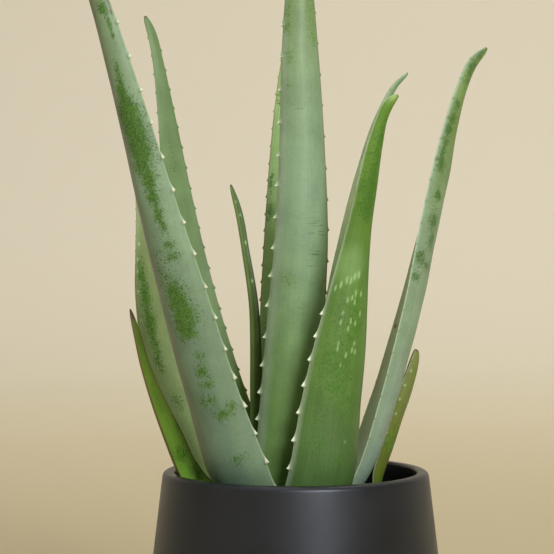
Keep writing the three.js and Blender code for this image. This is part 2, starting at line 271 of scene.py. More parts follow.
rind, tree = new_material("fibrous_stem_rind")
place = add(tree, "TexCoord").outputs["Object"]
along = add(tree, "Mapping", {"Vector": place, "Scale": (900, 900, 120)}).outputs[0]
fibre = add(tree, "TexNoise", {"Vector": along, "Scale": 1, "Detail": 4}).outputs["Fac"]
tone = blend(tree, ramp(tree, fibre, 0.35, 0.7), paint("#8c9a63"), paint("#b9b98c"))
relief = add(tree, "Bump", {"Height": fibre, "Strength": 0.5, "Distance": 0.0005}).outputs[0]
shader = add(tree, "BsdfPrincipled", {"Base Color": tone, "Roughness": 0.6, "Normal": relief})
finish_with(tree, shader)
stem.data.materials.append(rind)
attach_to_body(stem, "root")
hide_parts("crown")

# --- Leaves ------------------------------------------------------------------------------------
# Eleven fleshy leaves, rooted round the stem. Each is a convex back and a shallow gutter that meet
# in two horny margins with pale hooked teeth. The skin is waxy: a grey-blue bloom over green, and
# clear green where the bloom is rubbed off.

# Where teeth end on most leaves, as a share of the length.
TEETH_END = 0.96

# The photograph's level view along +Y and its side in pixels.
VIEW_PLACE = np.array([-10.5, -911.5, 247.9]) * MM
VIEW_LENS, VIEW_SENSOR = 105, 36
PHOTO_SIDE = 554

# Each leaf in millimetres: stations from the stem to the tip as (x, y, z, full width, facing);
# facing is the way that the back looks, in degrees from +X. Most x and widths are fitted to the
# leaf's edges in the photograph. Teeth are (first, spacing low down, spacing further up, share of
# the length where that is reached, height on the left and on the right margin, share where they
# end). The skin has greens of the back and of the gutter from root to tip, matched to the
# photograph, of rubbed places and of the dots in them, a border on either side as (colour, u where
# it starts, u where it is full, strength at the root, at the tip), the margin line, depth of the
# lengthwise lines, teeth and length of the dry tip. Marks are (kind, pixels from the photograph's
# left and top edge, spread across and along the leaf in pixels, strength).
LEAVES = {
    "leaf_young": dict(
        stations=[
            (-13, 6, 120, 8, 215), (-21.7, 9, 138, 8.9, 217), (-22, 10, 178, 9.6, 223),
            (-23.5, 11, 230, 7, 231), (-28.6, 13, 264, 5.2, 236), (-32.1, 13.5, 284, 4.8, 238),
            (-37.1, 14, 301.2, 2.8, 240),
        ],
        teeth=None,
        skin=dict(
            back=("#537331", "#657c3d", "#809b59"), gutter=("#33521f", "#3a5c24"),
            rubbed="#3f6b1f", dots="#294d14", left=("#6a8c4e", -0.7, -1, 0.6, 0.6),
            # The right border is painted shadow: the right half darkened as if the centre leaf
            # shaded it.
            right=("#364a09", 0.05, 0.5, 0.8, 0.8), edge=("#4a6a34", 0.3), lines=0.05,
            tooth="#6c8c50", brown=2,
        ),
        marks=[
            ("fleck", 235.5, 202, 1.2, 2, 1), ("fleck", 240, 215, 1.2, 2, 0.9),
            ("fleck", 245.5, 242, 1.2, 2.5, 1), ("fleck", 252, 280, 1.2, 2.5, 1),
        ],
    ),
    "leaf_centre": dict(
        stations=[
            (-6, -3, 114, 33, 282), (-5.3, -3, 140, 35.8, 283), (-2.3, -5, 180, 36.1, 284),
            (0.2, -8, 225, 33.3, 285), (3.1, -11, 270, 30.9, 286), (3.4, -14, 320, 26.5, 287),
            (2.3, -17, 370, 21.8, 288), (1.5, -19, 430, 12.4, 289), (0, -20, 482, 3.3, 290),
        ],
        teeth=(16, 15, 17.5, 0.5, 2.3, 1.3, TEETH_END),
        skin=dict(
            back=("#719251", "#86a17f", "#7d9565"), gutter=("#3c5626", "#6f9466"),
            rubbed="#7a9a58", dots="#5f7b48", left=("#a1b59b", -0.72, -0.93, 0.6, 0.5),
            # The right border is partly the leaf's own brownish edge and partly painted shade where
            # that side turns from the light.
            right=("#70684e", 0.82, 1, 0.8, 0.8), edge=("#a9bd96", 0.5), lines=0.035,
            tooth="#dfe6c6", brown=3,
        ),
        marks=[
            ("rub", 288, 10, 4, 14, 0.8), ("rub", 288, 28, 5, 7, 0.75),
            ("rub", 289, 56, 4, 8, 0.7), ("rub", 311, 12, 4, 16, 1),
            ("rub", 314, 36, 4, 10, 0.85), ("rub", 288, 85, 4, 3, 0.55),
            ("rub", 289, 280, 10, 7, 0.5), ("rub", 303, 308, 4, 8, 0.5),
            ("scar", 315, 246, 8, 36, 1.2), ("scar", 289, 290, 9, 7, 0.8),
            ("scar", 298, 110, 9, 5, 0.8), ("scar", 322, 232, 4, 12, 0.6),
        ],
    ),
    "leaf_behind_centre": dict(
        stations=[
            (-3, 12, 114, 30, 88), (-5, 19, 134, 33.1, 88), (-7.2, 28, 178, 32.9, 89),
            (-5.1, 36, 209, 31.9, 89), (-4.6, 44, 240, 30.8, 90), (-4.9, 61, 315, 20.9, 91),
            (-4.8, 70, 358, 12.7, 92), (-3.8, 75, 392, 5.2, 92),
        ],
        teeth=(30, 10.5, 10.5, 1, 1.2, 1.2, TEETH_END),
        skin=dict(
            # The gutter greens are painted light: paler than the leaf's own green, so that the
            # gutter, which lies in shade behind the centre leaf, looks lit.
            back=("#54793f", "#54793f", "#5f8648"), gutter=("#7da65f", "#98bb74"),
            rubbed="#5c8a3e", dots="#3f6428", left=("#5c8247", -0.9, -1, 0, 0),
            right=("#b2ad7e", 0.86, 1, 0.8, 0.8), edge=("#6c6a48", 0.4), lines=0.05,
            tooth="#5e6642", brown=3,
        ),
        marks=[
            ("rub", 270, 212, 5, 9, 0.9), ("rub", 271, 182, 4, 10, 0.75),
            ("rub", 280, 98, 3, 12, 0.6), ("rub", 266, 330, 4, 20, 0.5),
        ],
    ),
    "leaf_front_right": dict(
        stations=[
            (3, -9, 114, 40, 306), (12.6, -22, 137.3, 45, 307), (18.5, -28, 181.1, 40.7, 309),
            (23.3, -32, 213.4, 35.4, 311), (28.3, -37, 246, 25.8, 313),
            (32.6, -42, 272.5, 18.4, 315), (36.7, -47, 295, 15, 316),
            (40.9, -52, 317.5, 11.5, 317), (44.6, -55, 331.7, 8.4, 318),
            (48.2, -56.5, 339.4, 8.1, 318), (53.7, -57.5, 344.4, 5.4, 318),
        ],
        teeth=(29, 16, 10, 1, 2.5, 1.1, 0.53), fine=(98, 156), back_points=84,
        skin=dict(
            back=("#517139", "#5b8035", "#5d8428"), gutter=("#5f8f3c", "#5f8f3c"),
            rubbed="#46751c", dots="#3d661f", left=("#8ea083", -0.93, -1, 1, 0.3),
            # The right border is partly the leaf's own brownish edge and partly painted shade where
            # that side turns from the light.
            right=("#6f6a38", 0.86, 1, 0.2, 0.8), edge=("#b5c5a0", 0.5), lines=0.07,
            tooth="#e2e8cc", brown=0.6,
        ),
        marks=[
            ("yellow", 394, 97, 5, 5, 1), ("fleck", 352, 264, 18, 26, 0.45),
            ("rub", 381, 140, 6, 22, 0.7), ("rub", 373, 182, 7, 26, 1),
            ("rub", 368, 212, 6, 14, 0.8), ("rub", 354, 320, 14, 34, 0.5),
            ("rub", 336, 372, 15, 30, 0.6), ("rub", 352, 405, 12, 26, 0.5),
            ("rub", 318, 440, 10, 26, 0.45), ("rub", 345, 455, 10, 16, 0.4),
        ] + [
            ("fleck", right, down, 1, 3.6, 1) for right, down in (
                (335.5, 288), (341, 285), (347, 280), (351, 281), (355, 277), (359, 275),
                (356, 293), (361, 294), (348, 300), (352, 298), (355, 302), (343, 313),
                (360, 313), (341, 322), (351, 321), (355, 323), (348, 328), (338, 343),
                (354, 343), (338, 349), (352, 350), (355, 352), (346, 355), (341, 365),
                (345, 442),
            )
        ],
    ),
    "leaf_behind_right": dict(
        stations=[
            (11, 2, 115, 26, 20), (18.3, 4, 138, 29, 20), (19.1, 8, 178, 28.6, 18),
            (20.6, 10, 206, 29.4, 16), (21.5, 12, 235, 30.4, 14), (27.5, 15, 270, 27.1, 10),
            (34.7, 17, 304, 20.2, 5), (41.9, 18.5, 328, 14.9, 2), (50.1, 19.5, 347, 9.5, -3),
            (57.4, 20, 359, 6.2, -8), (65, 20, 365.8, 5.2, -10),
        ],
        teeth=(40, 14, 13, 1, 1.2, 1.2, TEETH_END),
        skin=dict(
            # The gutter greens are painted light: paler towards the tip, so that the gutter, which
            # lies in shade, looks lit.
            back=("#6d8c68", "#789a70", "#7c9c74"), gutter=("#91b680", "#c2e0aa"),
            rubbed="#567c3c", dots="#3a5929", left=("#96a67c", -0.7, -1, 0.6, 0.6),
            right=("#6d8c68", 0.9, 1, 0, 0), edge=("#a3b795", 0.5), lines=0.05, tooth="#b9c8a4",
            brown=1,
        ),
        marks=[
            ("rub", 372, 150, 4, 20, 0.4),
        ],
    ),
    "leaf_front_left": dict(
        stations=[
            (-15, -9, 115, 39, 224), (-28.2, -26, 138, 45.6, 224), (-43.3, -36, 182, 39.6, 224),
            (-58.6, -46, 235, 34.6, 225), (-73.9, -54, 289, 27, 226), (-88, -60, 341, 19.7, 227),
            (-103.4, -64, 393, 13.2, 228), (-117.9, -66, 435, 8.8, 229),
            (-134, -67, 472, 3.4, 230),
        ],
        teeth=(28, 14, 18, 0.35, 1.3, 2.6, TEETH_END),
        skin=dict(
            back=("#657e66", "#7b9576", "#798d66"), gutter=("#597a4d", "#587754"),
            # The left border is painted shade: a grey strip over the left of the back, where it
            # turns away from the light.
            rubbed="#4c7426", dots="#34541f", left=("#8a8b82", -0.1, -0.5, 0.8, 0.85),
            right=("#7c936d", 0.55, 0.85, 0.4, 0.7), edge=("#aabf9c", 0.5), lines=0.03,
            tooth="#e2e8cc", brown=3,
        ),
        marks=[
            ("rub", 118, 72, 3, 10, 0.9), ("rub", 121, 88, 5, 12, 0.9),
            ("rub", 127, 108, 10, 12, 1), ("rub", 131, 122, 11, 12, 1),
            ("rub", 136, 137, 11, 12, 1), ("rub", 140, 152, 11, 12, 1),
            ("rub", 144, 168, 9, 12, 1), ("rub", 149, 183, 7, 9, 0.8),
            ("dry", 108, 4, 1.5, 5, 0.7), ("dry", 111, 12, 1.2, 5, 0.7),
            ("rub", 103, 8, 7, 8, 1), ("rub", 109, 24, 2.5, 9, 0.9),
            ("rub", 113, 37, 2.5, 4, 0.8), ("rub", 152, 196, 7, 8, 0.75),
            ("rub", 156, 208, 5, 9, 0.8), ("rub", 160, 219, 5, 8, 0.75),
            ("rub", 164, 229, 3, 5, 0.7), ("rub", 170, 245, 6, 6, 0.75),
            ("rub", 175, 256, 7, 5, 0.7), ("rub", 176, 290, 9, 8, 0.8),
            ("rub", 180, 304, 9, 9, 0.75), ("rub", 184, 318, 12, 12, 0.95),
            ("rub", 187, 333, 9, 9, 0.9), ("rub", 200, 356, 6, 6, 0.65),
            ("rub", 202, 372, 7, 9, 0.8), ("rub", 207, 385, 8, 5, 0.7),
            ("rub", 212, 398, 4, 7, 0.75), ("rub", 204, 402, 5, 7, 0.7),
            ("rub", 222, 415, 10, 6, 1), ("rub", 233, 405, 6, 5, 0.7),
            ("rub", 237, 462, 6, 5, 0.7), ("rub", 245, 456, 4, 4, 0.5),
            ("rub", 167, 285, 9, 45, 0.42),
        ],
    ),
    "leaf_side_left": dict(
        stations=[
            (-15, 5, 115, 25, 140), (-38.5, 5, 134, 29, 138), (-62.1, 11, 178, 29.2, 134),
            (-75.2, 14, 206, 28, 131), (-81, 20, 235, 25, 128), (-84, 25, 262, 19, 125),
            (-86.7, 30, 284, 13, 123), (-90.2, 34, 302, 7, 121), (-91.5, 37, 313.1, 2.7, 120),
        ],
        teeth=(44, 10, 8, 1, 1.2, 1.2, TEETH_END),
        skin=dict(
            back=("#6c8449", "#6a8248", "#6a8248"), gutter=("#92a96e", "#788a55"),
            rubbed="#4c7522", dots="#335416", left=("#71895a", -0.9, -1, 0, 0),
            right=("#86a668", 0.84, 0.97, 0.6, 0.6), edge=("#7c7a4c", 0.5), lines=0.04,
            tooth="#d5dcbc", brown=2,
        ),
        marks=[
            ("fleck", 139, 244, 1.2, 2.2, 1), ("fleck", 137.5, 259, 1.2, 2.2, 1),
            ("fleck", 137.5, 272, 1.2, 2.2, 1), ("fleck", 138.5, 291, 1.2, 2.2, 1),
            ("fleck", 141, 320, 1.2, 2, 0.8), ("rub", 141, 272, 5, 14, 0.9),
            ("rub", 145, 296, 5, 14, 1), ("rub", 150, 322, 6, 14, 1),
            ("rub", 155, 346, 5, 12, 0.9), ("rub", 160, 366, 4, 9, 0.8),
            ("rub", 178, 402, 6, 9, 0.7),
        ],
    ),
    "leaf_back_left": dict(
        stations=[
            (-12, 14, 115, 28, 130), (-23.8, 21, 135, 32.1, 129), (-40, 27, 177, 30.1, 127),
            (-52.7, 35, 216, 29, 125), (-62.2, 43, 255, 25.3, 123), (-69.9, 52, 298, 19.1, 121),
            (-76.2, 61, 340, 12.3, 119), (-82.5, 68, 378, 7.2, 118), (-86.3, 70, 395, 6.5, 118),
            (-90.8, 71, 406.9, 5.5, 118),
        ],
        teeth=(40, 13.5, 12, 1, 1.5, 1.4, TEETH_END),
        skin=dict(
            back=("#4f7440", "#5c8650", "#6a9458"), gutter=("#5c7934", "#698351"),
            rubbed="#58802f", dots="#3b5c20", left=("#6c7537", -0.84, -1, 0.6, 0.3),
            right=("#96966e", 0.9, 1, 0.3, 0.3), edge=("#5f7a4c", 0.3), lines=0.04,
            tooth="#6e8c5c", brown=2,
        ),
        marks=[
            ("yellow", 149, 40, 3, 12, 0.6), ("rub", 150, 48, 4, 16, 0.4),
            ("rub", 172, 160, 5, 30, 0.3),
        ],
    ),
    "leaf_right": dict(
        stations=[
            (11, 5, 115, 30, 13), (28.6, 8.5, 134, 31.8, 8.9), (45.1, 9.5, 178, 33.6, 4.9),
            (55, 11, 212, 32.2, 2.9), (62.5, 12.5, 240, 30.9, 0.6), (71, 15, 276, 27.9, -3.9),
            (80.1, 17, 310, 22.7, -11.1), (87.6, 19, 337, 16.1, -14), (94.7, 21, 357, 11.5, -19),
            (101.2, 23, 371, 9.9, -22), (111.1, 24, 380.8, 6.6, -24),
        ],
        teeth=(48, 11.5, 13, 1, 1.3, 1.3, TEETH_END),
        skin=dict(
            # The gutter greens are painted light: pale, so that the inner face, which lies in
            # shade, looks lit.
            back=("#8aa28c", "#869d7c", "#738d4d"), gutter=("#a6bf94", "#9db077"),
            rubbed="#4d6f30", dots="#42602c", left=("#869c7b", -0.86, -0.97, 0.9, 0.4),
            right=("#a3a579", 0.2, 0.9, 0.5, 0.5), edge=("#b0c8a6", 0.6), lines=0.05,
            tooth="#d5dcbc", brown=1,
        ),
        marks=[
            ("rub", 480, 53, 8, 8, 0.9), ("rub", 473, 66, 8, 9, 0.9),
            ("rub", 468, 80, 6, 8, 0.7), ("rub", 457, 104, 4, 6, 0.8),
            ("rub", 453, 118, 4, 7, 0.9), ("rub", 449, 129, 5, 5, 1),
            ("rub", 446, 142, 4, 8, 0.7), ("rub", 442, 155, 4, 8, 0.8),
            ("rub", 441, 167, 5, 7, 0.95), ("rub", 438, 196, 4, 9, 0.8),
            ("rub", 434, 220, 4, 11, 0.9), ("rub", 431, 242, 3, 10, 0.7),
            ("rub", 420, 256, 6, 6, 0.8), ("rub", 427, 266, 5, 6, 0.65),
            ("rub", 417, 277, 6, 6, 0.65), ("dry", 395.6, 326, 1.3, 3.2, 1),
        ],
    ),
    "leaf_low_left": dict(
        stations=[
            (-17, -1, 116, 19, 150), (-46.9, -13.5, 124.6, 21.6, 148),
            (-58.9, -15.5, 140.5, 16.7, 146), (-67.8, -15.5, 160.2, 14.4, 143),
            (-76.5, -14.5, 179.8, 10.2, 141), (-83.8, -13, 199.3, 6.9, 138),
            (-88.2, -12, 215.9, 5.1, 136), (-92.4, -11, 230.4, 2.4, 135),
        ],
        teeth=None,
        skin=dict(
            # The gutter greens are painted light: paler at the root, where the gutter lies in
            # shade.
            back=("#4f7f22", "#5a8a2c", "#5a8a2c"), gutter=("#6d9c34", "#5b7721"),
            rubbed="#466f1c", dots="#335414", left=("#568426", -0.9, -1, 0, 0),
            # The right border is painted shadow: a dark line as if cast by the margin of the side
            # left leaf.
            right=("#272605", 0.86, 0.98, 0.6, 0.9), edge=("#6e4a2a", 0.8), lines=0.05,
            tooth="#6e4a2a", brown=12,
        ),
        marks=[
            ("rub", 145, 345, 4, 16, 0.8), ("rub", 156, 398, 3, 14, 0.5),
            ("rub", 178, 426, 5, 12, 0.8), ("rub", 181, 456, 8, 10, 0.8),
            ("rub", 196, 470, 8, 9, 0.9),
        ],
    ),
    "leaf_low_right": dict(
        stations=[
            (13, 12, 114, 11, -6), (42.7, 20, 120, 9, -6), (45.8, 23, 136, 16.3, -7),
            (55.9, 26, 165, 15.6, -8), (60.4, 26.6, 180, 16.9, -9), (65.9, 27, 194, 12.8, -10),
            (70.3, 28, 206.3, 7.7, -10),
        ],
        teeth=(52, 8, 7, 1, 0.9, 0.9, TEETH_END),
        skin=dict(
            # The gutter's brown and the dark left border are partly the leaf's own reddish brown
            # and partly painted shade on its inner face.
            back=("#50731a", "#616b22", "#768140"), gutter=("#6a5630", "#6a5630"),
            rubbed="#5a861a", dots="#3d6110", left=("#4c5123", -0.9, -1, 0.5, 0.5),
            right=("#8a8a50", 0.9, 1, 0, 0), edge=("#8c9464", 0.6), lines=0.05, tooth="#cfd0a4",
            brown=2,
        ),
        marks=[
            ("fleck", 411, 371, 1.3, 1.8, 1), ("fleck", 405, 385, 1.3, 1.8, 1),
            ("fleck", 400, 399, 1.3, 1.8, 1), ("fleck", 396, 413, 1.3, 1.8, 1),
            ("fleck", 387, 433, 1.2, 1.6, 0.8), ("rub", 392, 440, 5, 16, 0.8),
            ("rub", 400, 405, 4, 6, 0.4),
        ],
    ),
}

OUTER_BULGE, CLASP_BULGE, CLASP_SHARE, TIP_BULGE = 0.7, 0.55, 0.12, 0.2
GUTTER_DEPTH, TIP_FULLNESS, TIP_ROUND = 0.16, 0.5, 50
OUTER_ROUNDNESS, INNER_ROUNDNESS = 0.7, 0.8
TOOTH_SHORT, TOOTH_LONG, TOOTH_SHRINK = 0.75, 3.6, 0.35
TOOTH_REACH = 1.9 * MM
FIRST_SEED = 101
BACK_POINTS, GUTTER_POINTS = 40, 26
MARGIN_CROWDING = 0.105
RING_STEP, FINE_RING_STEP, LEAST_RING_STEP = 1.6 * MM, 0.6 * MM, 0.08 * MM
TIP_RINGS, TIP_END = 22, 0.9995
RIPPLE = 0.18 * MM
SPAN_STEPS = 400
# Where rings lie round a tooth, as multiples of its height.
TOOTH_RINGS = np.array([-0.75, -0.55, -0.38, -0.24, -0.13, -0.05, 0, 0.06, 0.14, 0.25, 0.4, 0.6,
                        0.9, 1.3, 1.8, 2.5, 3.6])


def smoothstep(x, low, high):
    """0 at low, 1 at high and beyond, 3x^2 - 2x^3 between; low may be the larger one."""
    s = np.clip((x - low) / (high - low), 0, 1)
    return s * s * (3 - 2 * s)


def spline(points):
    """Centripetal Catmull-Rom curve: between two points a cubic whose end slopes come from the
    neighbours, spaced by the square root of their distance. Ends use mirrored neighbours."""
    p = np.concatenate([[2 * points[0] - points[1]], points, [2 * points[-1] - points[-2]]])
    gap = np.sqrt(np.linalg.norm(np.diff(p, axis=0), axis=1))[:, None]
    a, b, c, d = p[:-3], p[1:-2], p[2:-1], p[3:]
    g0, g1, g2 = gap[:-2], gap[1:-1], gap[2:]
    slope0 = ((b - a) / g0 - (c - a) / (g0 + g1) + (c - b) / g1) * g1
    slope1 = ((c - b) / g1 - (d - b) / (g1 + g2) + (d - c) / g2) * g1
    w = np.linspace(0, 1, SPAN_STEPS, endpoint=False)[None, :, None]
    b, c, slope0, slope1 = (v[:, None] for v in (b, c, slope0, slope1))
    cubic = (2 * b - 2 * c + slope0 + slope1) * w**3 + (3 * c - 3 * b - 2 * slope0 - slope1) * w**2
    curve = (cubic + slope0 * w + b).reshape(-1, 3)
    return np.concatenate([curve, points[-1:]])


def through(places, values, x):
    """Value at x of a smooth curve through the values at some places: a cubic between two places,
    with slopes that follow the neighbours."""
    inner = (values[2:] - values[:-2]) / (places[2:] - places[:-2])
    ends = np.diff(values)[[0, -1]] / np.diff(places)[[0, -1]]
    slope = np.concatenate([ends[:1], inner, ends[1:]])
    k = np.clip(np.searchsorted(places, x, side="right") - 1, 0, len(places) - 2)
    step, rise = np.diff(places)[k], np.diff(values)[k]
    start, end = slope[k] * step, slope[k + 1] * step
    w = (x - places[k]) / step
    bend = start + w * (3 * rise - 2 * start - end)
    return values[k] + w * (bend + w * w * (start + end - 2 * rise))


def tooth_places(leaf, length, seed):
    """(side, distance, height) of every tooth: steps that follow the spacing, each with a small
    repeatable draw, first along the one margin and then along the other."""
    if leaf["teeth"] is None:
        return []
    first, near, far, settled, left, right, end = leaf["teeth"]
    state, made = seed, []

    def draw():
        nonlocal state
        state = state * 16807 % 2147483647
        return state / 2147483647

    for side, height in ((-1, left), (1, right)):
        distance = first + (0 if side > 0 else near * 0.4)
        while distance < length * end:
            share = distance / length
            size = height * (1 - TOOTH_SHRINK * share) * (0.9 + 0.2 * draw())
            made.append((side, distance * MM, size * MM))
            distance += (near + (far - near) * min(1, share / settled)) * (0.94 + 0.12 * draw())
    return made


def leaf_grid(leaf, seed):
    """The leaf's surface. At distance s along the middle line a ring runs over the back and
    returns along the gutter: across it lies u * half width, out of it the bulge times
    (1 - u^2) to a power. Each tooth pushes the margin out by its profile: a short steep side
    and a long hollow one. Returns points and, per point, the values that the skin reads."""
    stations = np.array(leaf["stations"], float)
    curve = spline(stations[:, :3]) * MM
    steps = np.linalg.norm(np.diff(curve, axis=0), axis=1)
    run = np.concatenate([[0], np.cumsum(steps)])
    length = run[-1]
    places = run[::SPAN_STEPS] / length
    teeth = tooth_places(leaf, length / MM, seed)
    rings = [np.arange(0, length, RING_STEP), length * (1 - np.geomspace(0.05, 0.0006, TIP_RINGS))]
    rings += [distance + TOOTH_RINGS * height for _, distance, height in teeth]
    if "fine" in leaf:
        rings.append(np.arange(*leaf["fine"], FINE_RING_STEP / MM) * MM)
    s = np.unique(np.round(np.concatenate(rings), 6))
    s = s[(s >= 0) & (s <= length * TIP_END)]
    s = s[np.concatenate([[True], np.diff(s) > LEAST_RING_STEP])]
    t = s / length

    centre = np.stack([np.interp(s, run, curve[:, k]) for k in range(3)], 1)
    slope = np.gradient(curve, run, axis=0)
    along = np.stack([np.interp(s, run, slope[:, k]) for k in range(3)], 1)
    along /= np.linalg.norm(along, axis=1, keepdims=True)
    look = np.radians(through(places, stations[:, 4], t))
    out = np.stack([np.cos(look), np.sin(look), np.zeros_like(look)], 1)
    out -= along * np.sum(out * along, axis=1, keepdims=True)
    out /= np.linalg.norm(out, axis=1, keepdims=True)
    side_way = np.cross(along, out)

    half = through(places, stations[:, 3], t) * MM / 2 * np.sqrt(1 - t**TIP_ROUND)
    clasp = CLASP_BULGE + (1 - CLASP_BULGE) * smoothstep(t, 0, CLASP_SHARE)
    bulge = OUTER_BULGE * clasp * (1 + TIP_BULGE * t)
    hollow = GUTTER_DEPTH - TIP_FULLNESS * t**3

    share = np.linspace(0, 1, leaf.get("back_points", BACK_POINTS) + 1)
    is_back = np.arange(len(share) + GUTTER_POINTS - 1) < len(share)
    share = np.concatenate([share, np.linspace(1, 0, GUTTER_POINTS + 1)[1:-1]])
    u = -np.cos(np.pi * (share - MARGIN_CROWDING * np.sin(2 * np.pi * share)))
    full = 1 - u**2
    lift = np.where(is_back, bulge[:, None] * full**OUTER_ROUNDNESS,
                    hollow[:, None] * full**INNER_ROUNDNESS) * half[:, None]
    wave = np.sin(s[:, None] / MM * 0.19 + 2.6 * u + seed) + np.sin(s[:, None] / MM * 0.083 - 4 * u)
    lift = lift - RIPPLE * (1 + 0.5 * wave) * full * np.where(is_back, 1, -1) * (1 - t[:, None]**8)
    across = u * half[:, None]

    from_margin = np.hypot((1 - np.abs(u)) * half[:, None], lift)
    grip = np.clip(1 - from_margin / TOOTH_REACH, 0, 1) ** 1.6
    push = np.zeros_like(across)
    for side, distance, height in teeth:
        x = s - distance
        short, long = TOOTH_SHORT * height, TOOTH_LONG * height
        profile = np.where(x < 0, np.clip(1 + x / short, 0, 1) ** 1.7,
                           np.clip(1 - x / long, 0, 1) ** 3)
        push += side * height * profile[:, None] * grip * (np.sign(u) == side)
    across = across + push
    points = (centre[:, None] + side_way[:, None] * across[..., None]
              + out[:, None] * lift[..., None])
    points = np.clip(points, *np.array(cad_box))
    everywhere = np.zeros_like(across)
    values = {
        "across": u * stations[:, 3].max() * MM / 2 + everywhere,
        "along": s[:, None] + everywhere,
        "share": t[:, None] + everywhere,
        "margin": from_margin,
        "tooth": np.abs(push),
        "back": is_back + everywhere,
        "u": u + everywhere,
    }
    return points, values


MARK_KINDS = ("rub", "fleck", "scar", "yellow", "dry")
# Pixels by which a point that faces away counts as further off, and rings looked at on either side.
HIDDEN_PENALTY = 50
RINGS_BESIDE = 6


def photo_places(points):
    """Where points lie in the photograph, in pixels from its left and top edge, and the pixels
    that a metre takes there: lens over sensor times the side, over the distance from the view."""
    scale = VIEW_LENS / VIEW_SENSOR * PHOTO_SIDE / (points[..., 1] - VIEW_PLACE[1])
    right = PHOTO_SIDE / 2 + scale * (points[..., 0] - VIEW_PLACE[0])
    down = PHOTO_SIDE / 2 - scale * (points[..., 2] - VIEW_PLACE[2])
    return right, down, scale


def places_on_leaf(leaf, points, values):
    """Each mark as (kind, u, distance from the root, spread in u, spread along, strength). The
    nearest point that faces the view gives ring and face. At the mark's height the lines of equal
    u cross that face one beside the other, and u is read between them."""
    right, down, scale = photo_places(points)
    round_right, round_down = np.roll(right, -1, axis=1) - right, np.roll(down, -1, axis=1) - down
    faces_view = round_right * np.gradient(down, axis=0) < round_down * np.gradient(right, axis=0)
    for kind, x, y, spread, reach, strength in leaf["marks"]:
        away = np.hypot(right - x, down - y) + np.where(faces_view, 0, HIDDEN_PENALTY)
        ring, nearest = np.unravel_index(np.argmin(away), away.shape)
        same_face = values["back"][ring] == values["back"][ring, nearest]
        lines = np.flatnonzero(faces_view[ring] & same_face)
        near = slice(max(ring - RINGS_BESIDE, 0), ring + RINGS_BESIDE + 1)
        order = np.argsort(down[near, nearest])
        crossings = np.array([
            np.interp(y, down[near, line][order], right[near, line][order]) for line in lines])
        order = np.argsort(crossings)
        u_of_lines = values["u"][ring, lines][order]
        u = np.interp([x - spread, x, x + spread], crossings[order], u_of_lines)
        wide, far = abs(u[2] - u[0]) / 2, reach / scale[ring, 0]
        yield kind, u[1], values["along"][ring, 0], wide, far, strength


def mark_masks(leaf, points, values):
    """Each kind of mark as the sum of its soft round patches, held below 1, the dry tip, and the
    two borders, each as strong as it says at the root and at the tip."""
    masks = {kind: np.zeros_like(values["u"]) for kind in MARK_KINDS}
    for kind, u, distance, wide, far, strength in places_on_leaf(leaf, points, values):
        off = ((values["u"] - u) / wide) ** 2 + ((values["along"] - distance) / far) ** 2
        masks[kind] += strength * np.exp(-off ** (1.5 if kind == "fleck" else 1))
    from_tip = values["along"].max() - values["along"]
    masks["dry"] += smoothstep(from_tip, leaf["skin"]["brown"] * MM, 0)
    for border in ("left", "right"):
        _, start, full, root, tip = leaf["skin"][border]
        strength = root + (tip - root) * values["share"]
        masks[border] = smoothstep(values["u"], start, full) * strength
    return {kind: np.clip(mask, 0, 1) for kind, mask in masks.items()}


def attach(mesh, name, values):
    """Stores one number per vertex; the two end caps' centres take their ring's mean."""
    flat = np.concatenate([values.reshape(-1), [values[0].mean()], [values[-1].mean()]])
    mesh.attributes.new(name, "FLOAT", "POINT").data.foreach_set("value", flat.astype(np.float32))


